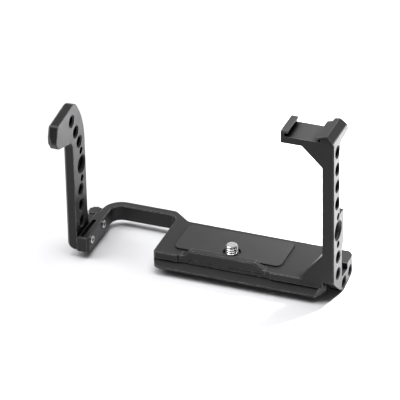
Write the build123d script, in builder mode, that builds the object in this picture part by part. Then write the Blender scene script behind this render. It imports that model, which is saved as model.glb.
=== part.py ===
"""Camera cage: base plate with an Arca dovetail, a shoe upright, a bolted side plate and its fastenings."""

import os

from build123d import *

os.makedirs("parts", exist_ok=True)

# Frame: the camera screw's axis is x = y = 0 and the plate's top face is z = 0.
# +X runs towards the upright with the cold shoe, +Y to the back of the cage.

# Base plate
plate_front = -11.8
plate_depth = 33.7
plate_left = -39.3
plate_inner_right = 53.35
plate_t = 3.9
plate_corner = 1.3
edge_chamfer = 0.4
plate_back = plate_front + plate_depth

# Arca dovetail under the plate
base_t = 8.6
dovetail_w = 38.0
dovetail_lip = 0.9
dovetail_corner = 4.2
dovetail_nose_x = 3.3
dovetail_nose_y = 8.6
dovetail_mid_y = plate_front + plate_depth / 2
dovetail_slope = base_t - plate_t - dovetail_lip

# Right upright, its ear below the plate and its holes
upright_t = 6.25
upright_right = plate_inner_right + upright_t
upright_low_w = 12.8
upright_mid_w = 15.5
upright_high_w = 9.3
upright_taper_z = 13.2
upright_taper_h = 5.1
upright_ledge_z = 36.3
upright_flare_r = 5.2
ear_back = 18.4
ear_drop = 12.3
ear_heel = 8.7
ear_heel_run = 2.2
ear_heel_drop = 1.7
ear_sole_front = 3.7
ear_sole_back = 6.3
ear_toe_run = 3.0
ear_toe_rise = 0.9
ear_step_y = 9.8
ear_step_t = 3.3
ear_corner_r = 5.5

# Cold shoe on the right upright
shoe_mid_x = 42.8
shoe_bottom = 78.2
shoe_floor = 82.0
shoe_slot_w = 19.2
shoe_slot_h = 2.1
shoe_opening = 15.0
shoe_lip_t = 1.0
shoe_wall = 1.8
shoe_depth = 16.5
shoe_ease = 0.6
ridge_z = 87.0
ridge_drop = 3.9
ridge_width = 3.1
ridge_depth = 18.6
roof_proud = 1.4
roof_t = 0.8
flare_depth = 22.3
flare_rise = 1.1
gusset_t = 5.0
gusset_w = 10.9
gusset_low_h = 13.2
gusset_toe = 2.7
gusset_high_h = 10.7

# Offset arm and foot bar that carry the side plate
bar_inner = -75.4
bar_w = 6.3
bar_chamfer = 1.0
seam_x = bar_inner - bar_w
arm_w = 4.6
arm_inner_y = 24.9
arm_bend_r = 5.9
arm_root_r = 5.0
arm_blend_near = 7.0
arm_blend_far = 2.3
arm_relief_y = 15.2
bar_nose_r = 1.7
bar_slot_w = 2.2
bar_slot_rib = 1.3
bar_slot_front = 0.9
bar_slot_len = 18.2
bar_slot_depth = 1.5

# Side plate on the left
side_t = 5.5
side_w = 15.5
side_straight_z = 51.4
side_top_y = -6.2
side_top_z = 76.3
side_bulge_in = 2.3
side_crown_run = 3.2
side_crown_rise = 1.4
hook_top_y = -29.8
hook_top_z = 75.4
hook_tip_y = -32.6
hook_tip_z = 66.6
hook_heel_y = -29.7
hook_heel_z = 62.1
hook_root_z = 56.8
hook_corner_r = 2.4
hook_root_r = 5.5
hook_tip_cut_x = 2.9
hook_tip_cut_y = 2.0
hook_bevel = 1.1
side_bevel = 0.2
foot_back = 13.8
foot_top = -1.6
toe_back = 24.6
toe_t = 3.3
foot_round = 4.0
foot_ease = 0.6
foot_ease_rise = 3.0
side_outer = seam_x - side_t

# Threaded holes
quarter_r = 3.2
quarter_mouth = 0.45
three_eighths_r = 4.8
three_eighths_mouth = 0.9
locator_r = 1.9
locator_mouth = 0.15
hole_pitch = 10.0
locator_pitch = 8.2
right_hole_y = -6.3
right_top_hole_z = 75.0
right_low_hole_y = -5.1
right_big_hole_z = 28.4
right_low_hole_z = 12.6
ear_hole_y = 4.4
ear_hole_z = -8.0
ear_hole_rise = 1.1
side_hole_y = -3.8
side_low_hole_z = 5.6
side_big_hole_y = -1.8
side_low_pitch = 9.4
side_big_hole_z = 38.4
side_high_holes = [(-3.6, 52.9), (-7.6, 60.7), (-12.4, 69.3)]

# Screw that holds the camera, its washer, clip and folding ring
camera_thread_r = 3.15
camera_thread_up = 5.0
camera_hole_clearance = 0.08
thread_ease = 0.6
well_r = 8.9
well_floor = -4.0
head_r = 4.4
head_t = 3.7
head_slot_w = 1.4
head_slot_depth = 1.0
washer_t = 0.5
clip_t = 0.5
clip_w = 1.5
clip_groove = 0.7
clip_gap = 4.2
clip_play = 0.1
ring_wire_r = 0.8
ring_half = 5.7
ring_reach = 7.6
ring_clearance = 0.06

# Rubber pad
pad_w = 59.0
pad_depth = 24.2
pad_mid_x = -0.9
pad_mid_y = 6.4
pad_corner = 3.5
pad_pocket = 0.8
pad_proud = 0.7
pad_gap = 0.15
pad_hole_r = 4.7

# Anti-twist lip on the plate's front edge
lip_w = 46.2
lip_blade_w = 44.4
lip_end_angle = 38
lip_ease = 0.6
lip_mid_x = -1.2
lip_t = 3.0
lip_foot = 4.3
lip_setback = 0.6
lip_h = 3.6
lip_seat = 2.3
lip_undercut = 0.5
lip_gap = 0.15
recess_w = 50.8
recess_mid_x = -0.5
lip_back_gap = 0.1
lip_screw_pitch = 26.0
lip_screw_r = 1.0
lip_screw_bite = 1.9
lip_screw_back = 1.5
lip_head_r = 1.7
lip_hex_across = 1.3
lip_head_t = 1.1

# Screws and dowels between the foot bar and the side plate
foot_screw_z = -3.1
foot_screw_front = -6.9
foot_screw_back = 9.3
foot_screw_r = 1.25
foot_screw_bite = 4.4
foot_head_r = 2.15
foot_head_t = 2.1
foot_head_proud = 0.7
foot_head_ease = 0.25
foot_bore_gap = 0.25
hex_across = 2.0
hex_depth = 1.2
dowel_r = 1.0
dowel_len = 7.0
dowel_z = -6.3
dowel_front = -2.6
dowel_back = 5.4
fit_gap = 0.02

# Thumb knob on the side plate's toe
knob_y = 20.3
knob_r = 3.9
knob_t = 2.5
knob_lobes = 10
lobe_cut_r = 1.0
lobe_cut_out = 0.55
knob_ease = 0.35
knob_washer_r = 3.7
knob_washer_t = 0.3
stud_r = 2.0
stud_clearance = 0.06
stud_in_knob = 1.5
stud_tip_gap = 0.3
knob_inset = 2.9
knob_x = side_outer + knob_inset


def side_of_plate(y_start, amount):
    """Plane facing the front of the cage, for sketches in X and Z that run back by amount."""
    return Plane(origin=(0, y_start + amount, 0), x_dir=(1, 0, 0), z_dir=(0, -1, 0))


def across(x):
    """Plane at x that faces +X, for sketches in Y and Z."""
    return Plane(origin=(x, 0, 0), x_dir=(0, 1, 0), z_dir=(1, 0, 0))


def countersunk_row(x, points, radius, mouth, depth):
    """Bore holes of one size inwards from the face at x that looks along +X."""
    with Locations(*[Plane(origin=(x, y, z), x_dir=(0, 1, 0), z_dir=(1, 0, 0)) for y, z in points]):
        CounterSinkHole(radius=radius, counter_sink_radius=radius + mouth, depth=depth)


# ---- Cage frame: plate, dovetail, arm, foot bar, right upright and shoe in one machined piece

dovetail_half = dovetail_w / 2
dovetail_len = plate_inner_right - plate_left
upright_back_low = plate_front + upright_low_w
upright_back_mid = plate_front + upright_mid_w
upright_back_high = plate_front + upright_high_w
arm_outer_y = arm_inner_y + arm_w
arm_outer_r = arm_bend_r + arm_w
bend_x = bar_inner + arm_bend_r
bend_y = arm_inner_y - arm_bend_r
shoe_left = shoe_mid_x - shoe_slot_w / 2 - shoe_wall
shoe_right = shoe_mid_x + shoe_slot_w / 2
lip_left = shoe_mid_x - shoe_opening / 2
lip_right = shoe_mid_x + shoe_opening / 2
lip_under = shoe_floor + shoe_slot_h
shoe_top = lip_under + shoe_lip_t
ridge_x = upright_right - ridge_width
lip_seat_z = -lip_seat
lip_front = plate_front + lip_setback
lip_screw_y = lip_front + lip_foot - lip_screw_back
foot_head_seat = bar_inner + foot_head_proud - foot_head_t

with BuildPart() as cage_frame:
    # Dovetail rail, rounded at its left end and eased at its right nose
    with BuildSketch(across(plate_left)):
        Polygon(
            (dovetail_mid_y - dovetail_half + dovetail_slope, -plate_t),
            (dovetail_mid_y - dovetail_half, -base_t + dovetail_lip),
            (dovetail_mid_y - dovetail_half, -base_t),
            (dovetail_mid_y + dovetail_half, -base_t),
            (dovetail_mid_y + dovetail_half, -base_t + dovetail_lip),
            (dovetail_mid_y + dovetail_half - dovetail_slope, -plate_t),
            align=None,
        )
    extrude(amount=dovetail_len)
    with BuildSketch(Plane.XY.offset(-base_t)) as rail_plan:
        with Locations(((plate_left + plate_inner_right) / 2, dovetail_mid_y)):
            Rectangle(dovetail_len, dovetail_w)
        fillet(rail_plan.vertices().group_by(Axis.X)[0], dovetail_corner)
        nose = rail_plan.vertices().group_by(Axis.X)[-1].sort_by(Axis.Y)[0]
        chamfer(nose, dovetail_nose_x, dovetail_nose_y)
    extrude(amount=base_t, mode=Mode.INTERSECT)

    # Plate, which runs out to the upright's outer face behind it
    with BuildSketch():
        Polygon(
            (plate_left + plate_corner, plate_front),
            (plate_inner_right, plate_front),
            (plate_inner_right, ear_step_y),
            (upright_right, ear_step_y),
            (upright_right, plate_back),
            (plate_left, plate_back),
            (plate_left, plate_front + plate_corner),
            align=None,
        )
    extrude(amount=-plate_t)

    # Arm around the side opening and the foot bar at its end
    with BuildSketch() as arm_plan:
        with BuildLine():
            Polyline(
                (plate_left, bend_y),
                (plate_left + 2 * arm_blend_near, bend_y),
                (plate_left + 2 * arm_blend_near, plate_back),
                (plate_left + arm_blend_near, plate_back),
                (plate_left - arm_blend_far, arm_outer_y),
                (bend_x, arm_outer_y),
            )
            RadiusArc((bend_x, arm_outer_y), (bend_x - arm_outer_r, bend_y), -arm_outer_r)
            Line((bend_x - arm_outer_r, bend_y), (bend_x - arm_outer_r, arm_relief_y))
            Line((bend_x - arm_outer_r, arm_relief_y), (seam_x, arm_relief_y))
            Line((seam_x, arm_relief_y), (seam_x, plate_front))
            Line((seam_x, plate_front), (bar_inner - bar_chamfer, plate_front))
            Line((bar_inner - bar_chamfer, plate_front), (bar_inner, plate_front + bar_chamfer))
            Line((bar_inner, plate_front + bar_chamfer), (bar_inner, bend_y))
            RadiusArc((bar_inner, bend_y), (bend_x, arm_inner_y), arm_bend_r)
            Line((bend_x, arm_inner_y), (plate_left - arm_root_r, arm_inner_y))
            RadiusArc(
                (plate_left - arm_root_r, arm_inner_y),
                (plate_left, arm_inner_y - arm_root_r),
                arm_root_r,
            )
            Line((plate_left, arm_inner_y - arm_root_r), (plate_left, bend_y))
        make_face()
        blend_far = arm_plan.vertices().sort_by_distance((plate_left - arm_blend_far, arm_outer_y))[0]
        blend_near = arm_plan.vertices().sort_by_distance((plate_left + arm_blend_near, plate_back))[0]
        fillet([blend_far, blend_near], arm_root_r)
        bar_nose = arm_plan.vertices().sort_by_distance((bar_inner, plate_front))[0]
        fillet(bar_nose, bar_nose_r)
    extrude(amount=-base_t)

    plate_rim = cage_frame.faces().sort_by(Axis.Z)[-1].edges()
    chamfer(plate_rim, edge_chamfer)

    # Right upright with its ear
    with BuildSketch(across(plate_inner_right)) as upright_side:
        with BuildLine():
            Polyline(
                (plate_front, ridge_z),
                (plate_front, 0),
                (ear_sole_front - ear_toe_run, -ear_drop + ear_toe_rise),
                (ear_sole_front, -ear_drop),
                (ear_sole_back, -ear_drop),
                (ear_back - ear_heel_run, -ear_heel - ear_heel_drop),
                (ear_back, -ear_heel),
                (ear_back, 0),
                (ear_step_y, 0),
                (ear_step_y, -ear_step_t),
                (upright_back_low, -ear_step_t),
                (upright_back_low, upright_taper_z),
                (upright_back_mid, upright_taper_z + upright_taper_h),
                (upright_back_mid, upright_ledge_z),
                (upright_back_high, upright_ledge_z),
                (upright_back_high, shoe_bottom - upright_flare_r),
            )
            RadiusArc(
                (upright_back_high, shoe_bottom - upright_flare_r),
                (upright_back_high + upright_flare_r, shoe_bottom),
                upright_flare_r,
            )
            Polyline(
                (upright_back_high + upright_flare_r, shoe_bottom),
                (plate_front + flare_depth, shoe_bottom + flare_rise),
                (plate_front + ridge_depth, ridge_z),
                (plate_front, ridge_z),
            )
        make_face()
    extrude(amount=upright_t)

    with BuildSketch(Plane.XY.offset(-ear_drop)):
        with Locations((upright_right - ear_corner_r, plate_back - ear_corner_r)):
            Rectangle(2 * ear_corner_r, 2 * ear_corner_r, align=(Align.MIN, Align.MIN))
            Circle(ear_corner_r, mode=Mode.SUBTRACT)
    extrude(amount=ear_drop, mode=Mode.SUBTRACT)

    # Cold shoe, then the roof line that slopes over its right rail and the outer chamfer
    with BuildSketch(side_of_plate(plate_front, shoe_depth)):
        Polygon(
            (shoe_left, shoe_bottom),
            (shoe_left, shoe_top),
            (lip_left, shoe_top),
            (lip_left, lip_under),
            (shoe_left + shoe_wall, lip_under),
            (shoe_left + shoe_wall, shoe_floor),
            (shoe_right, shoe_floor),
            (shoe_right, lip_under),
            (lip_right, lip_under),
            (lip_right, shoe_top),
            (ridge_x, ridge_z),
            (ridge_x, shoe_bottom),
            align=None,
        )
    extrude(amount=shoe_depth)
    with BuildSketch(side_of_plate(plate_front, flare_depth)):
        Polygon(
            (lip_right, shoe_top),
            (ridge_x, ridge_z),
            (upright_right, ridge_z - ridge_drop),
            (upright_right + ridge_width, ridge_z - ridge_drop),
            (upright_right + ridge_width, ridge_z + ridge_drop),
            (lip_right, ridge_z + ridge_drop),
            align=None,
        )
    extrude(amount=flare_depth, mode=Mode.SUBTRACT)

    outer_face = cage_frame.faces().filter_by(Axis.X).sort_by(Axis.X)[-1]
    outer_edges = outer_face.edges().filter_by(lambda edge: edge.length > upright_high_w)
    chamfer(outer_edges.filter_by(lambda edge: edge.center().Y < ear_step_y), edge_chamfer)

    shoe_edges = cage_frame.edges().filter_by_position(Axis.Y, plate_front, plate_front)
    shoe_edges = shoe_edges.filter_by(lambda edge: edge.center().Z > lip_under + shoe_ease)
    chamfer(shoe_edges.filter_by(lambda edge: edge.center().X < shoe_mid_x), shoe_ease)

    # Thin front edge of the roof, proud of the upright
    with BuildSketch(side_of_plate(plate_front - roof_proud, roof_proud)):
        Polygon(
            (lip_right, shoe_top),
            (ridge_x, ridge_z),
            (upright_right, ridge_z - ridge_drop),
            (upright_right, ridge_z - ridge_drop - roof_t),
            (ridge_x, ridge_z - roof_t),
            (lip_right, shoe_top - roof_t),
            align=None,
        )
    extrude(amount=roof_proud)

    # Gussets in the two corners of the right upright
    with BuildSketch(side_of_plate(plate_front, gusset_t)):
        Polygon(
            (plate_inner_right, -plate_t),
            (plate_inner_right - gusset_w, -plate_t),
            (plate_inner_right - gusset_w, gusset_toe),
            (plate_inner_right, gusset_toe + gusset_low_h),
            align=None,
        )
        Polygon(
            (plate_inner_right, shoe_bottom),
            (plate_inner_right - gusset_w, shoe_bottom),
            (plate_inner_right, shoe_bottom - gusset_high_h),
            align=None,
        )
    extrude(amount=gusset_t)

    # Slot in the top of the foot bar
    bar_slot_x = seam_x + bar_slot_rib + bar_slot_w / 2
    with BuildSketch():
        with Locations((bar_slot_x, plate_front + bar_slot_front + bar_slot_len / 2)):
            SlotOverall(bar_slot_len, bar_slot_w, rotation=90)
    extrude(amount=-bar_slot_depth, mode=Mode.SUBTRACT)

    # Pad pocket, hole for the camera screw and the well for its head
    with BuildSketch():
        with Locations((pad_mid_x, pad_mid_y)):
            RectangleRounded(pad_w, pad_depth, pad_corner)
    extrude(amount=-pad_pocket, mode=Mode.SUBTRACT)
    with BuildSketch(Plane.XY.offset(-base_t)):
        Circle(well_r)
    extrude(amount=base_t + well_floor, mode=Mode.SUBTRACT)
    with BuildSketch(Plane.XY.offset(-base_t)):
        Circle(camera_thread_r + camera_hole_clearance)
    extrude(amount=base_t, mode=Mode.SUBTRACT)

    # Shallow recess in the plate's front, then the seat for the anti-twist lip and its two screws
    with BuildSketch(side_of_plate(plate_front, lip_setback)):
        with Locations((recess_mid_x, -plate_t)):
            Rectangle(recess_w, plate_t, align=(Align.CENTER, Align.MIN))
    extrude(amount=lip_setback, mode=Mode.SUBTRACT)
    with BuildSketch():
        with Locations((lip_mid_x, plate_front)):
            Rectangle(
                lip_w + 2 * lip_gap,
                lip_setback + lip_foot + lip_back_gap,
                align=(Align.CENTER, Align.MIN),
            )
    extrude(amount=lip_seat_z, mode=Mode.SUBTRACT)
    with BuildSketch(Plane.XY.offset(-base_t)):
        with Locations((lip_mid_x, lip_screw_y)):
            with GridLocations(lip_screw_pitch, 0, 2, 1):
                Circle(lip_screw_r + fit_gap)
    extrude(amount=base_t, mode=Mode.SUBTRACT)
    with BuildSketch(Plane.XY.offset(-base_t)):
        with Locations((lip_mid_x, lip_screw_y)):
            with GridLocations(lip_screw_pitch, 0, 2, 1):
                Circle(lip_head_r + fit_gap)
    extrude(amount=base_t - plate_t + lip_head_t, mode=Mode.SUBTRACT)

    # Bores for the foot screws and dowels
    foot_screw_points = [(foot_screw_front, foot_screw_z), (foot_screw_back, foot_screw_z)]
    dowel_points = [(dowel_front, dowel_z), (dowel_back, dowel_z)]
    with BuildSketch(across(seam_x)):
        with Locations(*foot_screw_points):
            Circle(foot_screw_r + fit_gap)
    extrude(amount=bar_w, mode=Mode.SUBTRACT)
    with BuildSketch(across(foot_head_seat)):
        with Locations(*foot_screw_points):
            Circle(foot_head_r + foot_bore_gap)
    extrude(amount=foot_head_t, mode=Mode.SUBTRACT)
    with BuildSketch(across(seam_x)):
        with Locations(*dowel_points):
            Circle(dowel_r + fit_gap)
    extrude(amount=dowel_len / 2, mode=Mode.SUBTRACT)

    # Accessory holes in the right upright and its ear
    right_quarters = [(right_hole_y, right_top_hole_z - i * hole_pitch) for i in range(4)]
    right_quarters += [(right_low_hole_y, right_low_hole_z - i * hole_pitch) for i in range(2)]
    right_quarters += [(ear_hole_y + i * hole_pitch, ear_hole_z + i * ear_hole_rise) for i in range(2)]
    right_locators = [(right_low_hole_y, right_big_hole_z + s * locator_pitch) for s in (-1, 1)]
    right_big = [(right_low_hole_y, right_big_hole_z)]
    countersunk_row(upright_right, right_quarters, quarter_r, quarter_mouth, upright_t)
    countersunk_row(upright_right, right_big, three_eighths_r, three_eighths_mouth, upright_t)
    countersunk_row(upright_right, right_locators, locator_r, locator_mouth, upright_t)

cage_frame.part.label = "cage_frame"
export_step(cage_frame.part, "parts/cage_frame.step")

# ---- Left side plate with its hook, foot and toe

side_back = plate_front + side_w
side_bulge_y = side_back - side_bulge_in
side_bulge_z = (side_straight_z + side_top_z) / 2

with BuildPart() as left_side_plate:
    with BuildSketch(across(side_outer)) as side_outline:
        with BuildLine():
            Polyline(
                (plate_front, hook_root_z),
                (plate_front, -base_t),
                (toe_back, -base_t),
                (toe_back, -base_t + toe_t),
                (foot_back, -base_t + toe_t),
                (foot_back, foot_top),
                (side_back + foot_ease, foot_top),
                (side_back + foot_ease, side_low_hole_z),
                (side_back, side_low_hole_z + foot_ease_rise),
                (side_back, side_straight_z),
            )
            ThreePointArc(
                (side_back, side_straight_z),
                (side_bulge_y, side_bulge_z),
                (side_top_y, side_top_z),
            )
            Polyline(
                (side_top_y, side_top_z),
                (side_top_y - side_crown_run, side_top_z + side_crown_rise),
                (hook_top_y, hook_top_z),
                (hook_tip_y, hook_tip_z),
                (hook_heel_y, hook_heel_z),
                (plate_front, hook_root_z),
            )
        make_face()
        hook_corners = side_outline.vertices().filter_by(lambda corner: corner.X < hook_heel_y + hook_corner_r)
        fillet(hook_corners, hook_corner_r)
        hook_root = side_outline.vertices().sort_by_distance((plate_front, hook_root_z))[0]
        fillet(hook_root, hook_root_r)
    extrude(amount=side_t)
    outer_bottom = left_side_plate.faces().sort_by(Axis.X)[0].edges().sort_by(Axis.Z)[0]
    fillet(outer_bottom, foot_round)
    outside = left_side_plate.faces().sort_by(Axis.X)[0]
    rims = outside.edges().filter_by(lambda edge: edge.center().Z > 0)
    chamfer(rims.filter_by(lambda edge: edge.center().Y < side_top_y), hook_bevel)
    outside, inside = left_side_plate.faces().filter_by(Axis.X).sort_by(Axis.X)
    rims = inside.edges() + outside.edges().filter_by(lambda edge: edge.center().Y > side_top_y)
    chamfer(rims.filter_by(lambda edge: edge.center().Z > 0), side_bevel)
    with BuildSketch(Plane.XY.offset(hook_root_z)):
        Polygon(
            (side_outer - hook_tip_cut_x, hook_tip_y + 2 * hook_tip_cut_y),
            (side_outer + hook_tip_cut_x, hook_tip_y),
            (side_outer + hook_tip_cut_x, hook_tip_y - hook_tip_cut_y),
            (side_outer - hook_tip_cut_x, hook_tip_y - hook_tip_cut_y),
            align=None,
        )
    extrude(amount=side_top_z + side_crown_rise - hook_root_z, mode=Mode.SUBTRACT)

    side_quarters = [(side_hole_y, side_low_hole_z + i * side_low_pitch) for i in range(3)]
    side_quarters += side_high_holes
    side_locators = [(side_big_hole_y, side_big_hole_z + s * locator_pitch) for s in (-1, 1)]
    countersunk_row(seam_x, side_quarters, quarter_r, quarter_mouth, side_t)
    countersunk_row(seam_x, [(side_big_hole_y, side_big_hole_z)], three_eighths_r, quarter_mouth, side_t)
    countersunk_row(seam_x, side_locators, locator_r, locator_mouth, side_t)

    with BuildSketch(across(seam_x)):
        with Locations(*foot_screw_points):
            Circle(foot_screw_r + fit_gap)
    extrude(amount=-(foot_screw_bite + fit_gap), mode=Mode.SUBTRACT)
    with BuildSketch(across(seam_x)):
        with Locations(*dowel_points):
            Circle(dowel_r + fit_gap)
    extrude(amount=-dowel_len / 2, mode=Mode.SUBTRACT)
    with BuildSketch(Plane.XY.offset(-base_t)):
        with Locations((knob_x, knob_y)):
            Circle(stud_r + stud_clearance)
    extrude(amount=toe_t, mode=Mode.SUBTRACT)

left_side_plate.part.label = "left_side_plate"
export_step(left_side_plate.part, "parts/left_side_plate.step")

# ---- Socket screws that hold the side plate to the foot bar

with BuildPart() as foot_screws:
    with BuildSketch(across(foot_head_seat)):
        with Locations(*foot_screw_points):
            Circle(foot_head_r)
    extrude(amount=foot_head_t)
    rims = foot_screws.edges().filter_by(GeomType.CIRCLE).group_by(Axis.X)[-1]
    chamfer(rims, foot_head_ease)
    with BuildSketch(across(seam_x - foot_screw_bite)):
        with Locations(*foot_screw_points):
            Circle(foot_screw_r)
    extrude(amount=foot_head_seat - seam_x + foot_screw_bite)
    with BuildSketch(across(foot_head_seat + foot_head_t)):
        with Locations(*foot_screw_points):
            RegularPolygon(hex_across / 2, 6, major_radius=False)
    extrude(amount=-hex_depth, mode=Mode.SUBTRACT)

foot_screws.part.label = "foot_screws"
export_step(foot_screws.part, "parts/foot_screws.step")

with BuildPart() as foot_dowels:
    with BuildSketch(across(seam_x - dowel_len / 2)):
        with Locations(*dowel_points):
            Circle(dowel_r)
    extrude(amount=dowel_len)

foot_dowels.part.label = "foot_dowels"
export_step(foot_dowels.part, "parts/foot_dowels.step")

# ---- Anti-twist lip and its screws

with BuildPart() as anti_twist_lip:
    with BuildSketch(side_of_plate(lip_front, lip_t)):
        with Locations((lip_mid_x, 0)):
            Trapezoid(lip_blade_w, lip_h, lip_end_angle, align=(Align.CENTER, Align.MIN))
    extrude(amount=lip_t)
    blade_face = anti_twist_lip.faces().sort_by(Axis.Y)[0]
    chamfer(blade_face.edges().sort_by(Axis.Z)[1:], lip_ease)
    with BuildSketch(side_of_plate(lip_front, lip_foot)):
        with Locations((lip_mid_x, lip_seat_z)):
            Rectangle(lip_w, lip_seat, align=(Align.CENTER, Align.MIN))
    extrude(amount=lip_foot)
    foot_face = anti_twist_lip.faces().filter_by(Axis.Y).sort_by(Axis.Y)[0]
    chamfer(foot_face.edges().sort_by(Axis.Z)[0], lip_undercut)
    with BuildSketch(Plane.XY.offset(lip_seat_z)):
        with Locations((lip_mid_x, lip_screw_y)):
            with GridLocations(lip_screw_pitch, 0, 2, 1):
                Circle(lip_screw_r + fit_gap)
    extrude(amount=lip_screw_bite + fit_gap, mode=Mode.SUBTRACT)

anti_twist_lip.part.label = "anti_twist_lip"
export_step(anti_twist_lip.part, "parts/anti_twist_lip.step")

with BuildPart() as lip_screws:
    lip_head_floor = -plate_t + lip_head_t
    with BuildSketch(Plane.XY.offset(lip_head_floor)):
        with Locations((lip_mid_x, lip_screw_y)):
            with GridLocations(lip_screw_pitch, 0, 2, 1):
                Circle(lip_head_r)
    extrude(amount=-lip_head_t)
    with BuildSketch(Plane.XY.offset(lip_head_floor)):
        with Locations((lip_mid_x, lip_screw_y)):
            with GridLocations(lip_screw_pitch, 0, 2, 1):
                Circle(lip_screw_r)
    extrude(amount=lip_seat_z - lip_head_floor + lip_screw_bite)
    with BuildSketch(Plane.XY.offset(-plate_t)):
        with Locations((lip_mid_x, lip_screw_y)):
            with GridLocations(lip_screw_pitch, 0, 2, 1):
                RegularPolygon(lip_hex_across / 2, 6, major_radius=False)
    extrude(amount=lip_head_t / 2, mode=Mode.SUBTRACT)

lip_screws.part.label = "lip_screws"
export_step(lip_screws.part, "parts/lip_screws.step")

# ---- Rubber pad

with BuildPart() as base_pad:
    with BuildSketch(Plane.XY.offset(-pad_pocket)):
        with Locations((pad_mid_x, pad_mid_y)):
            RectangleRounded(pad_w - 2 * pad_gap, pad_depth - 2 * pad_gap, pad_corner - pad_gap)
        Circle(pad_hole_r, mode=Mode.SUBTRACT)
    extrude(amount=pad_pocket + pad_proud)

base_pad.part.label = "base_pad"
export_step(base_pad.part, "parts/base_pad.step")

# ---- Camera screw, washer, clip and folding ring

head_top = well_floor - washer_t
head_bottom = head_top - head_t
ring_z = head_top - head_t / 2 + head_slot_depth / 4

with BuildPart() as camera_screw:
    with BuildSketch(Plane.XY.offset(head_bottom)):
        Circle(head_r)
    extrude(amount=head_t)
    head_rims = camera_screw.edges().filter_by(GeomType.CIRCLE)
    chamfer(head_rims, edge_chamfer)
    with BuildSketch(Plane.XY.offset(head_top)):
        Circle(camera_thread_r)
    extrude(amount=camera_thread_up - head_top)
    chamfer(camera_screw.edges().sort_by(Axis.Z)[-1], thread_ease)
    with BuildSketch(Plane.XY.offset(-pad_pocket + clip_play)):
        Circle(camera_thread_r)
        Circle(camera_thread_r - clip_groove, mode=Mode.SUBTRACT)
    extrude(amount=clip_t, mode=Mode.SUBTRACT)
    with BuildSketch(Plane.XY.offset(head_bottom)):
        Rectangle(head_slot_w, 2 * head_r)
    extrude(amount=head_slot_depth, mode=Mode.SUBTRACT)
    with BuildSketch(across(-head_r)):
        with Locations((0, ring_z)):
            Circle(ring_wire_r + ring_clearance)
    extrude(amount=2 * head_r, mode=Mode.SUBTRACT)

camera_screw.part.label = "camera_screw"
export_step(camera_screw.part, "parts/camera_screw.step")

with BuildPart() as camera_screw_washer:
    with BuildSketch(Plane.XY.offset(well_floor)):
        Circle(head_r)
        Circle(camera_thread_r + camera_hole_clearance, mode=Mode.SUBTRACT)
    extrude(amount=-washer_t)

camera_screw_washer.part.label = "camera_screw_washer"
export_step(camera_screw_washer.part, "parts/camera_screw_washer.step")

with BuildPart() as camera_screw_clip:
    clip_r = camera_thread_r - clip_groove + fit_gap
    with BuildSketch(Plane.XY.offset(-pad_pocket + clip_play + fit_gap)):
        Circle(clip_r + clip_w)
        Circle(clip_r, mode=Mode.SUBTRACT)
        with Locations((0, clip_r + clip_w)):
            Rectangle(clip_gap, 2 * clip_r, mode=Mode.SUBTRACT)
    extrude(amount=clip_t - 2 * fit_gap)

camera_screw_clip.part.label = "camera_screw_clip"
export_step(camera_screw_clip.part, "parts/camera_screw_clip.step")

with BuildPart() as camera_screw_ring:
    with BuildLine() as ring_path:
        Line((-ring_half, 0, ring_z), (ring_half, 0, ring_z))
        ThreePointArc((ring_half, 0, ring_z), (0, ring_reach, ring_z), (-ring_half, 0, ring_z))
    with BuildSketch(Plane(origin=(0, 0, ring_z), x_dir=(0, 1, 0), z_dir=(1, 0, 0))):
        Circle(ring_wire_r)
    sweep(path=ring_path.wires()[0], transition=Transition.ROUND)

camera_screw_ring.part.label = "camera_screw_ring"
export_step(camera_screw_ring.part, "parts/camera_screw_ring.step")

# ---- Thumb knob, its stud and washer

toe_top = -base_t + toe_t
knob_bottom = toe_top + knob_washer_t

with BuildPart() as thumb_knob:
    with BuildSketch(Plane.XY.offset(knob_bottom)):
        with Locations((knob_x, knob_y)):
            Circle(knob_r)
            with PolarLocations(knob_r + lobe_cut_out, knob_lobes):
                Circle(lobe_cut_r, mode=Mode.SUBTRACT)
    extrude(amount=knob_t)
    chamfer(thumb_knob.faces().sort_by(Axis.Z)[-1].edges(), knob_ease)
    with BuildSketch(Plane.XY.offset(knob_bottom)):
        with Locations((knob_x, knob_y)):
            Circle(stud_r)
    extrude(amount=stud_in_knob, mode=Mode.SUBTRACT)

thumb_knob.part.label = "thumb_knob"
export_step(thumb_knob.part, "parts/thumb_knob.step")

with BuildPart() as thumb_knob_stud:
    with BuildSketch(Plane.XY.offset(-base_t + stud_tip_gap)):
        with Locations((knob_x, knob_y)):
            Circle(stud_r)
    extrude(amount=toe_t - stud_tip_gap + knob_washer_t + stud_in_knob)
    chamfer(thumb_knob_stud.edges().sort_by(Axis.Z)[0], edge_chamfer)

thumb_knob_stud.part.label = "thumb_knob_stud"
export_step(thumb_knob_stud.part, "parts/thumb_knob_stud.step")

with BuildPart() as thumb_knob_washer:
    with BuildSketch(Plane.XY.offset(toe_top)):
        with Locations((knob_x, knob_y)):
            Circle(knob_washer_r)
            Circle(stud_r + stud_clearance, mode=Mode.SUBTRACT)
    extrude(amount=knob_washer_t)

thumb_knob_washer.part.label = "thumb_knob_washer"
export_step(thumb_knob_washer.part, "parts/thumb_knob_washer.step")
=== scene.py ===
import math

import bmesh
import bpy
from mathutils import Matrix, Vector


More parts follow.
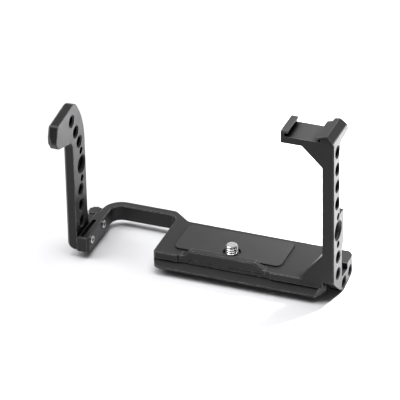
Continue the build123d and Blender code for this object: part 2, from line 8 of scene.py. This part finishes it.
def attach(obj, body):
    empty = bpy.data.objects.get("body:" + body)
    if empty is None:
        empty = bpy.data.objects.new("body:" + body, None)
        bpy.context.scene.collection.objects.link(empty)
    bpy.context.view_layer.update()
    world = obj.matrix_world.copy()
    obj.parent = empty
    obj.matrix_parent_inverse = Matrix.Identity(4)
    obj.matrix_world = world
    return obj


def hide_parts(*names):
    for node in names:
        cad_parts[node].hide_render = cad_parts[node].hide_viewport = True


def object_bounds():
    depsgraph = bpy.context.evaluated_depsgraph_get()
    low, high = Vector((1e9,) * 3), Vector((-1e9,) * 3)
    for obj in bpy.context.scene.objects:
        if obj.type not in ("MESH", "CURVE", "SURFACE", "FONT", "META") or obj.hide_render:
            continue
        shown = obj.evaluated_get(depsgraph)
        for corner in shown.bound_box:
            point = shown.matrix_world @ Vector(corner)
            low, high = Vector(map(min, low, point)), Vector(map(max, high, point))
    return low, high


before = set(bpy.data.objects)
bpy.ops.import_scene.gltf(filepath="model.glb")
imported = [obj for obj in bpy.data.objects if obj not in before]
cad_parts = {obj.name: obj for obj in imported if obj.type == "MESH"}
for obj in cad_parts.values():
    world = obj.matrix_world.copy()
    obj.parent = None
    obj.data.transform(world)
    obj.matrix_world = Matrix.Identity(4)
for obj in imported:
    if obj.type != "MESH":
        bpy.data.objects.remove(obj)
cadBox = [list(corner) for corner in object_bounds()]


# shader maths: sockets that add, subtract and multiply as numbers do

class Sock:
    def __init__(self, graph, socket):
        self.graph = graph
        self.socket = socket

    def maths(self, operation, *inputs):
        return self.graph.node("ShaderNodeMath", {"operation": operation}, list(inputs))

    def __add__(self, other):
        return self.maths("ADD", self, other)

    def __sub__(self, other):
        return self.maths("SUBTRACT", self, other)

    def __rsub__(self, other):
        return self.maths("SUBTRACT", other, self)

    def __mul__(self, other):
        return self.maths("MULTIPLY", self, other)

    __radd__ = __add__
    __rmul__ = __mul__


class Graph:
    def __init__(self, name):
        self.material = bpy.data.materials.new(name)
        self.material.use_nodes = True
        self.tree = self.material.node_tree
        self.shader = self.tree.nodes["Principled BSDF"]

    def node(self, kind, settings=None, values=None, out=0):
        made = self.tree.nodes.new(kind)
        for key, value in (settings or {}).items():
            setattr(made, key, value)
        pairs = values.items() if isinstance(values, dict) else enumerate(values or [])
        for key, value in pairs:
            self.put(made.inputs[key], value)
        return Sock(self, made.outputs[out])

    def put(self, socket, value):
        if isinstance(value, Sock):
            self.tree.links.new(value.socket, socket)
        else:
            socket.default_value = value

    def set(self, **values):
        for key, value in values.items():
            self.put(self.shader.inputs[key.replace("_", " ")], value)

    def noise(self, size, detail=3.0, stretch=(1, 1, 1)):
        # size is the grain in metres
        scaled = self.node(
            "ShaderNodeMapping",
            values={
                "Vector": self.node("ShaderNodeTexCoord", out="Object"),
                "Scale": [factor / size for factor in stretch],
            },
        )
        return self.node(
            "ShaderNodeTexNoise",
            values={"Vector": scaled, "Scale": 1.0, "Detail": detail, "Roughness": 0.55},
        )

    def ramp(self, value, low, high):
        return self.node(
            "ShaderNodeMapRange",
            values={"Value": value, "From Min": low, "From Max": high},
        )

    def mix(self, factor, a, b):
        # the colour inputs and output of a Mix node go by number
        return self.node(
            "ShaderNodeMix",
            {"data_type": "RGBA"},
            {"Factor": factor, 6: a, 7: b},
            out=2,
        )

    def vector(self, operation, *inputs, out="Vector"):
        return self.node("ShaderNodeVectorMath", {"operation": operation}, list(inputs), out)

    def edges(self, radius, bare, full):
        # 0 on flats, 1 where the rounded normal leaves the flat one by full
        soft = self.node("ShaderNodeBevel", {"samples": 4}, {"Radius": radius})
        hard = self.node("ShaderNodeNewGeometry", out="Normal")
        return self.ramp(1 - self.vector("DOT_PRODUCT", soft, hard, out="Value"), bare, full)

    def crevice(self, reach, start, full):
        # 0 in the open, 1 where the surface is shut in by its neighbours: the mask of a painted
        # shade
        openness = self.node(
            "ShaderNodeAmbientOcclusion",
            {"samples": 6},
            {"Distance": reach},
            out="AO",
        )
        return self.ramp(openness, start, full)

    def axisDistance(self, centre, across):
        # distance from an axis through centre, measured along the directions in across
        place = self.node("ShaderNodeTexCoord", out="Object")
        flat = self.vector("MULTIPLY", self.vector("SUBTRACT", place, centre), across)
        return self.vector("LENGTH", flat, out="Value")

    def paintShade(self, tone, roughness, share):
        # painted shade: mix in a dark matt shader, without specular, by share
        matt = self.node(
            "ShaderNodeBsdfPrincipled",
            values={"Base Color": grey(tone), "Roughness": roughness, "Specular IOR Level": 0.0},
        )
        glossy = Sock(self, self.shader.outputs["BSDF"])
        mixed = self.node("ShaderNodeMixShader", values=[share, glossy, matt])
        self.tree.links.new(mixed.socket, self.tree.nodes["Material Output"].inputs["Surface"])

    def bump(self, height, depth, strength):
        return self.node(
            "ShaderNodeBump",
            values={"Height": height, "Distance": depth, "Strength": strength},
        )


def grey(level):
    return (level, level, level * 1.02, 1.0)  # a touch cooler than neutral


anodisedLook = {
    "face": 0.011,
    "faceSpread": (0.86, 1.16),
    "cloud": 0.011,
    "cloudRoughness": 0.12,
    # edge lightening: partly rubbed wear, partly a painted highlight
    "wornAndHighlightTone": 0.42,
    "edgeWearAndHighlight": 0.9,
    "rub": 0.0016,
    "rubRange": (0.25, 0.75),
    "edge": 0.00032,
    "edgeRange": (0.01, 0.09),
    "roughness": 0.38,
    "specular": 0.3,
    "blast": 0.00016,
    "blastDepth": 0.000010,
    "blastStrength": 0.8,
    "blastRoughness": 0.10,
    # painted shade where the surface is shut in by its neighbours
    "creviceShadeTone": 0.004,
    "creviceShadeRoughness": 0.9,
    "reach": 0.005,
    "shutRange": (0.9, 0.55),
}


def anodised(name, look):
    # bead blasted and black anodised; edges lighter, partly rubbed wear and partly a painted
    # highlight; shut-in places darkened by a painted shade
    g = Graph(name)
    blast = g.noise(look["blast"], detail=2.0)
    cloud = g.noise(look["cloud"])
    rub = g.noise(look["rub"], detail=4.0)
    # painted highlight and rubbed wear: edges lightened where the bevelled normal leaves the flat
    # one
    edgeWearAndHighlight = g.edges(look["edge"], *look["edgeRange"]) * g.ramp(rub, *look["rubRange"]) * look["edgeWearAndHighlight"]
    dark, light = (grey(look["face"] * share) for share in look["faceSpread"])
    unevenness = (cloud - 0.5) * look["cloudRoughness"] + (blast - 0.5) * look["blastRoughness"]
    g.set(
        Base_Color=g.mix(edgeWearAndHighlight, g.mix(cloud, dark, light), grey(look["wornAndHighlightTone"])),
        Roughness=look["roughness"] + unevenness,
        Normal=g.bump(blast, look["blastDepth"], look["blastStrength"]),
        Specular_IOR_Level=look["specular"],
    )
    # painted shade: a dark matt mix where ambient occlusion finds the surface shut in
    g.paintShade(look["creviceShadeTone"], look["creviceShadeRoughness"], g.crevice(look["reach"], *look["shutRange"]))
    return g.material


steelLook = {
    "tone": 0.72,
    "dark": 0.46,
    "roughness": 0.26,
    "brush": 0.0003,
    "brushStretch": (1, 1, 0.12),
    "brushDepth": 0.000006,
    "brushStrength": 0.5,
    "brushShare": 0.5,
    "smear": 0.0022,
    "smearShare": 0.4,
    "smearRoughness": 0.18,
}
# painted shade in the foot screws' hex sockets
socketShade = {
    "sockets": [(0, -0.0069, -0.0031), (0, 0.0093, -0.0031)],
    "socketRadius": 0.0010,
    "socketFade": 1.1,
    "recessShadeTone": 0.02,
}
# painted shade in the camera screw's thread roots
threadRootShade = {
    "crestRadius": 0.00302,
    "rootRadius": 0.00268,
    "recessShadeTone": 0.03,
    "rootShadeTop": 0.0044,
    "rootShadeFull": 0.0042,
}


def steel(name, look):
    g = Graph(name)
    brush = g.noise(look["brush"], stretch=look["brushStretch"])
    smear = g.noise(look["smear"], detail=2.0)
    streaks = brush * look["brushShare"] + smear * look["smearShare"]
    tone = g.mix(streaks, grey(look["tone"]), grey(look["dark"]))
    if "rootRadius" in look:
        # painted shade in the thread roots, by the distance from the screw's axis, below the eased
        # top
        radius = g.axisDistance((0, 0, 0), (1, 1, 0))
        place = g.node("ShaderNodeTexCoord", out="Object")
        height = g.node("ShaderNodeSeparateXYZ", values=[place], out="Z")
        inThread = g.ramp(radius, look["crestRadius"], look["rootRadius"])
        belowTop = g.ramp(height, look["rootShadeTop"], look["rootShadeFull"])
        tone = g.mix(inThread * belowTop, tone, grey(look["recessShadeTone"]))
    for centre in look.get("sockets", []):
        # painted shade in a screw's socket, by the distance from its axis along X
        radius = g.axisDistance(centre, (0, 1, 1))
        inside = g.ramp(radius, look["socketRadius"] * look["socketFade"], look["socketRadius"])
        tone = g.mix(inside, tone, grey(look["recessShadeTone"]))
    g.set(
        Base_Color=tone,
        Metallic=1.0,
        Roughness=look["roughness"] + (smear - 0.5) * look["smearRoughness"],
        Normal=g.bump(brush, look["brushDepth"], look["brushStrength"]),
    )
    return g.material


rubberLook = {
    "face": 0.009,
    "dust": 0.015,
    "dustSize": 0.006,
    "dustRange": (0.4, 0.8),
    "dustRoughness": 0.1,
    "roughness": 0.46,
    "grain": 0.00035,
    "depth": 0.00003,
    "strength": 0.7,
}


def rubber(name, look):
    g = Graph(name)
    grain = g.noise(look["grain"], detail=2.0)
    dust = g.noise(look["dustSize"], detail=4.0)
    dusty = g.ramp(dust, *look["dustRange"])
    g.set(
        Base_Color=g.mix(dusty, grey(look["face"]), grey(look["dust"])),
        Roughness=look["roughness"] + (dust - 0.5) * look["dustRoughness"],
        Normal=g.bump(grain, look["depth"], look["strength"]),
    )
    return g.material


plainLook = {
    "grain": 0.0004,
    "grainDepth": 0.00001,
    "grainStrength": 0.6,
    "smear": 0.003,
    "smearSpread": (0.8, 1.25),
    "smearRoughness": 0.2,
}
oxideLook = {**plainLook, "tone": 0.05, "roughness": 0.42, "metallic": 1.0}
nylonLook = {**plainLook, "tone": 0.035, "roughness": 0.55, "metallic": 0.0}


def plain(name, look):
    # small fittings of one finish all over
    g = Graph(name)
    grain = g.noise(look["grain"])
    smear = g.noise(look["smear"], detail=2.0)
    dark, light = (grey(look["tone"] * share) for share in look["smearSpread"])
    g.set(
        Base_Color=g.mix(smear, dark, light),
        Roughness=look["roughness"] + (smear - 0.5) * look["smearRoughness"],
        Metallic=look["metallic"],
        Normal=g.bump(grain, look["grainDepth"], look["grainStrength"]),
    )
    return g.material


# painted shade in the holes: the thread walls take a darker face than the frame, with little sheen
# and edge highlight
threadShadeLook = {**anodisedLook, "face": 0.005, "roughness": 0.6, "edgeWearAndHighlight": 0.12, "specular": 0.15}
knobLook = {**anodisedLook, "face": 0.016, "edge": 0.0002}
materials = {
    "cage": anodised("black anodised frame", anodisedLook),
    "thread": anodised("black anodised thread in painted shade", threadShadeLook),
    "knob": anodised("black anodised knob", knobLook),
    "steel": steel("brushed steel", steelLook),
    "screwSteel": steel("threaded steel with painted root shade", {**steelLook, **threadRootShade}),
    "socketSteel": steel("socket screw steel with painted socket shade", {**steelLook, **socketShade}),
    "blackSteel": plain("black oxide steel", oxideLook),
    "rubber": rubber("pad rubber", rubberLook),
    "nylon": plain("black nylon", nylonLook),
}
nodeFinish = {
    "cage_frame": "cage",
    "left_side_plate": "cage",
    "anti_twist_lip": "cage",
    "thumb_knob": "knob",
    "foot_screws": "socketSteel",
    "foot_dowels": "steel",
    "camera_screw": "steel",
    "camera_screw_ring": "steel",
    "thumb_knob_stud": "steel",
    "lip_screws": "blackSteel",
    "camera_screw_clip": "blackSteel",
    "thumb_knob_washer": "blackSteel",
    "base_pad": "rubber",
    "camera_screw_washer": "nylon",
}
for nodeName, finish in nodeFinish.items():
    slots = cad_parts[nodeName].data.materials
    slots.clear()
    slots.append(materials[finish])
print("finishes set on", len(nodeFinish), "nodes")


# threads: a column of ridges, longer than the wall, spun once while it climbs one pitch

ridge = [  # share of the pitch, share of the depth
    (0.0, 0.0),
    (0.12, 0.0),
    (0.30, 0.5),
    (0.48, 1.0),
    (0.62, 1.0),
    (0.81, 0.5),
]
mergeShare = 0.004  # of the pitch


def threadWall(root, crest, pitch, length, steps=40):
    bm = bmesh.new()
    turns = math.ceil(length / pitch) + 2  # one to spare at each end
    points = [
        bm.verts.new((root + (crest - root) * height, 0, (turn + share - 1) * pitch))
        for turn in range(turns)
        for share, height in ridge
    ]
    line = [bm.edges.new(pair) for pair in zip(points, points[1:])]
    bmesh.ops.spin(
        bm,
        geom=points + line,
        cent=(0, 0, 0),
        axis=(0, 0, 1),
        dvec=(0, 0, pitch / steps),
        angle=math.tau,
        steps=steps,
    )
    bmesh.ops.remove_doubles(bm, verts=bm.verts, dist=pitch * mergeShare)
    for height, normal in ((0, (0, 0, -1)), (length, (0, 0, 1))):
        bmesh.ops.bisect_plane(
            bm,
            geom=bm.verts[:] + bm.edges[:] + bm.faces[:],
            plane_co=(0, 0, height),
            plane_no=normal,
            clear_outer=True,
        )
    return bm


def addMesh(bm, name, finish):
    bmesh.ops.recalc_face_normals(bm, faces=bm.faces)
    mesh = bpy.data.meshes.new(name)
    bm.to_mesh(mesh)
    bm.free()
    mesh.materials.append(materials[finish])
    piece = bpy.data.objects.new(name, mesh)
    bpy.context.scene.collection.objects.link(piece)
    return piece


def addHoleThread(bm, size, holePlace):
    # one hole along X: an inner wall of ridges and a plain outer wall just inside the metal
    wall = threadWall(size["major"], size["minor"], size["pitch"], holePlace["length"])
    rims = [edge for edge in wall.edges if edge.is_boundary]
    grown = bmesh.ops.extrude_edge_only(wall, edges=rims)["geom"]
    for vert in (part for part in grown if isinstance(part, bmesh.types.BMVert)):
        vert.co.xy = vert.co.xy.normalized() * (size["major"] + size["sunk"])
    bmesh.ops.bridge_loops(wall, edges=[edge for edge in wall.edges if edge.is_boundary])
    place = Matrix.Translation(holePlace["start"]) @ Matrix.Rotation(math.radians(90), 4, "Y")
    bmesh.ops.transform(wall, matrix=place, verts=wall.verts)
    mesh = bpy.data.meshes.new("hole")
    wall.to_mesh(mesh)
    wall.free()
    bm.from_mesh(mesh)
    bpy.data.meshes.remove(mesh)


quarterThread = {"major": 0.0032, "minor": 0.00262, "pitch": 0.00127, "sunk": 0.00003}
largeThread = {"major": 0.0048, "minor": 0.00412, "pitch": 0.0015875, "sunk": 0.00003}
# start and lengths in metres, hole centres as Y and Z in millimetres
uprightHoles = {
    "start": 0.0534,
    "length": 0.00566,
    "quarter": [
        (-6.3, 45),
        (-6.3, 55),
        (-6.3, 65),
        (-6.3, 75),
        (-5.1, 2.6),
        (-5.1, 12.6),
        (4.4, -8.0),
    ],
    "large": [(-5.1, 28.4)],
    "largeLength": 0.00514,
}
earHole = {"start": (0.0534, 0.0144, -0.0069), "length": 0.0034}
sidePlateHoles = {
    "start": -0.08715,
    "length": 0.00491,
    "quarter": [
        (-3.8, 5.6),
        (-3.8, 15.0),
        (-3.8, 24.4),
        (-3.6, 52.9),
        (-7.6, 60.7),
        (-12.4, 69.3),
    ],
    "large": [(-1.8, 38.4)],
    "largeLength": 0.00491,
}


def addThreads(name, holes, extra=None):
    bm = bmesh.new()
    sizes = (("quarter", quarterThread, "length"), ("large", largeThread, "largeLength"))
    for kind, size, lengthName in sizes:
        for y, z in holes[kind]:
            start = (holes["start"], y / 1000, z / 1000)
            addHoleThread(bm, size, {"start": start, "length": holes[lengthName]})
    if extra:
        addHoleThread(bm, quarterThread, extra)
    piece = addMesh(bm, name, "thread")
    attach(piece, "cage")
    print(name, len(piece.data.polygons), "faces")


addThreads("upright_hole_threads", uprightHoles, earHole)
addThreads("side_plate_hole_threads", sidePlateHoles)


# camera screw: threaded shaft on a slotted head with a hole for the ring's wire

cameraScrew = {
    "major": 0.00315,
    "minor": 0.00255,
    "pitch": 0.00127,
    "top": 0.0050,
    "ease": 0.0006,
    "headTop": -0.0045,
    "headHeight": 0.0037,
    "headRadius": 0.0044,
    "headEase": 0.0004,
    "steps": 48,
    "headSegments": 72,
    "wireSegments": 28,
    "slot": 0.0014,
    "slotDepth": 0.0010,
    "wireRadius": 0.00086,
    "grooveLow": -0.0007,
    "grooveHigh": -0.0002,
    "grooveRadius": 0.00245,
    "toolReach": 3,  # length of the cutting tools, in head radii
}


def carve(base, tool, operation):
    # cut or join, keep the result, and throw the tool away
    cut = base.modifiers.new("carve", "BOOLEAN")
    cut.object = tool
    cut.operation = operation
    cut.solver = "EXACT"
    seen = base.evaluated_get(bpy.context.evaluated_depsgraph_get())
    result = bpy.data.meshes.new_from_object(seen)
    base.modifiers.clear()
    base.data = result
    bpy.data.objects.remove(tool)


def addCameraScrew(look):
    shaftFoot = look["headTop"] - look["headEase"]
    shaftLength = look["top"] - shaftFoot
    shaft = threadWall(look["minor"], look["major"], look["pitch"], shaftLength, look["steps"])
    bmesh.ops.translate(shaft, vec=(0, 0, shaftFoot), verts=shaft.verts)
    bmesh.ops.holes_fill(shaft, edges=[edge for edge in shaft.edges if edge.is_boundary])
    # ease the top of the thread and turn the clip's groove into it
    for vert in shaft.verts:
        radius = vert.co.xy.length
        allowed = look["major"] - max(0, vert.co.z - look["top"] + look["ease"])
        if look["grooveLow"] <= vert.co.z <= look["grooveHigh"]:
            allowed = look["grooveRadius"]
        if radius > allowed:
            vert.co.xy *= allowed / radius
    bottom = look["headTop"] - look["headHeight"]
    middle = look["headTop"] - look["headHeight"] / 2
    head = bmesh.new()
    bmesh.ops.create_cone(
        head,
        cap_ends=True,
        segments=look["headSegments"],
        radius1=look["headRadius"],
        radius2=look["headRadius"],
        depth=look["headHeight"],
        matrix=Matrix.Translation((0, 0, middle)),
    )
    level = look["headHeight"] / 1000
    rims = [edge for edge in head.edges if abs(edge.verts[0].co.z - edge.verts[1].co.z) < level]
    bmesh.ops.bevel(
        head,
        geom=rims,
        offset=look["headEase"],
        affect="EDGES",
        segments=2,
        profile=0.5,
        material=-1,
    )
    toolLength = look["headRadius"] * look["toolReach"]
    slotTool = bmesh.new()
    slotBox = Matrix.Diagonal((look["slot"], toolLength, look["slotDepth"] * 2, 1))
    bmesh.ops.create_cube(slotTool, matrix=Matrix.Translation((0, 0, bottom)) @ slotBox)
    wireTool = bmesh.new()
    wireHeight = middle + look["slotDepth"] / 4
    bmesh.ops.create_cone(
        wireTool,
        cap_ends=True,
        segments=look["wireSegments"],
        radius1=look["wireRadius"],
        radius2=look["wireRadius"],
        depth=toolLength,
        matrix=Matrix.Translation((0, 0, wireHeight)) @ Matrix.Rotation(math.radians(90), 4, "Y"),
    )
    piece = addMesh(head, "camera_screw_threaded", "screwSteel")
    carve(piece, addMesh(shaft, "shaft", "screwSteel"), "UNION")
    carve(piece, addMesh(slotTool, "slot", "screwSteel"), "DIFFERENCE")
    carve(piece, addMesh(wireTool, "wire", "screwSteel"), "DIFFERENCE")
    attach(piece, "screw")
    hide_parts("camera_screw")
    print("camera screw", len(piece.data.polygons), "faces")


addCameraScrew(cameraScrew)


# camera

cameraPlace = {
    "at": (0.5668, -1.4893, 0.9914),
    "azimuth": 21.425,
    "elevation": 31.006,
    "roll": -1.207,
    "lens": 327.47,
    "sensor": 36,
    "farEnd": 20,
    "shiftX": 0.0025,
    "shiftY": -0.00675,
}


def addCamera(place):
    data = bpy.data.cameras.new("camera")
    data.sensor_width = place["sensor"]
    data.lens = place["lens"]
    data.shift_x = place["shiftX"]
    data.shift_y = place["shiftY"]
    data.clip_end = place["farEnd"]
    camera = bpy.data.objects.new("camera", data)
    turn = Matrix.Rotation(math.radians(place["azimuth"]), 4, "Z")
    tilt = Matrix.Rotation(math.radians(90 - place["elevation"]), 4, "X")
    roll = Matrix.Rotation(math.radians(place["roll"]), 4, "Z")
    camera.matrix_world = Matrix.Translation(place["at"]) @ turn @ tilt @ roll
    bpy.context.scene.collection.objects.link(camera)
    bpy.context.scene.camera = camera


addCamera(cameraPlace)
print("camera set")


# floor and lights

studio = {
    "floorGap": 0.0004,
    "floorSize": 6.0,
    "floorTone": 0.62,
    "floorRoughness": 0.85,
    "worldStrength": 0.12,
    "panelAim": (0, 0, 0.03),
    "panels": {
        "key": {"at": (-1.00, -0.25, 1.25), "size": (1.1, 1.1), "power": 24},
        "top": {"at": (0.10, 0.05, 1.50), "size": (1.0, 1.0), "power": 24},
        "back wall": {"at": (0.0, 1.70, 0.65), "size": (3.2, 1.1), "power": 12},
    },
    "spots": {
        "floor lamp": {
            "at": (0.42, 0.50, 0.80),
            "aim": (0.15, 0.165, -0.01),
            "cone": 21,
            "blend": 0.4,
            "size": 0.05,
            "power": 300,
        },
        "shoe lamp": {
            "at": (-0.20, 0.90, 0.75),
            "aim": (0.048, 0.0, 0.088),
            "cone": 5.5,
            "blend": 0.6,
            "size": 0.015,
            "power": 4,
        },
    },
}


def addFloor(look):
    bm = bmesh.new()
    bmesh.ops.create_grid(bm, x_segments=1, y_segments=1, size=look["floorSize"])
    bmesh.ops.translate(bm, vec=(0, 0, cadBox[0][2] - look["floorGap"]), verts=bm.verts)
    g = Graph("pale floor")
    g.set(Base_Color=grey(look["floorTone"]), Roughness=look["floorRoughness"])
    materials["floor"] = g.material
    addMesh(bm, "floor", "floor")


def placeLight(data, at, aim):
    light = bpy.data.objects.new(data.name, data)
    light.location = at
    light.rotation_euler = (Vector(at) - Vector(aim)).to_track_quat("Z", "Y").to_euler()
    bpy.context.scene.collection.objects.link(light)


def addPanel(name, look):
    data = bpy.data.lights.new(name, "AREA")
    data.shape = "RECTANGLE"
    data.size, data.size_y = look["size"]
    data.energy = look["power"]
    placeLight(data, look["at"], studio["panelAim"])


def addSpot(name, look):
    data = bpy.data.lights.new(name, "SPOT")
    data.spot_size = math.radians(look["cone"])
    data.spot_blend = look["blend"]
    data.shadow_soft_size = look["size"]
    data.energy = look["power"]
    placeLight(data, look["at"], look["aim"])


addFloor(studio)
for panelName, panel in studio["panels"].items():
    addPanel(panelName, panel)
for spotName, spot in studio["spots"].items():
    addSpot(spotName, spot)
world = bpy.data.worlds.new("studio")
bpy.context.scene.world = world
world.use_nodes = True
background = world.node_tree.nodes["Background"].inputs
background["Color"].default_value = (1, 1, 1, 1)
background["Strength"].default_value = studio["worldStrength"]
bpy.context.scene.view_settings.view_transform = "Standard"
print("floor and lights set")
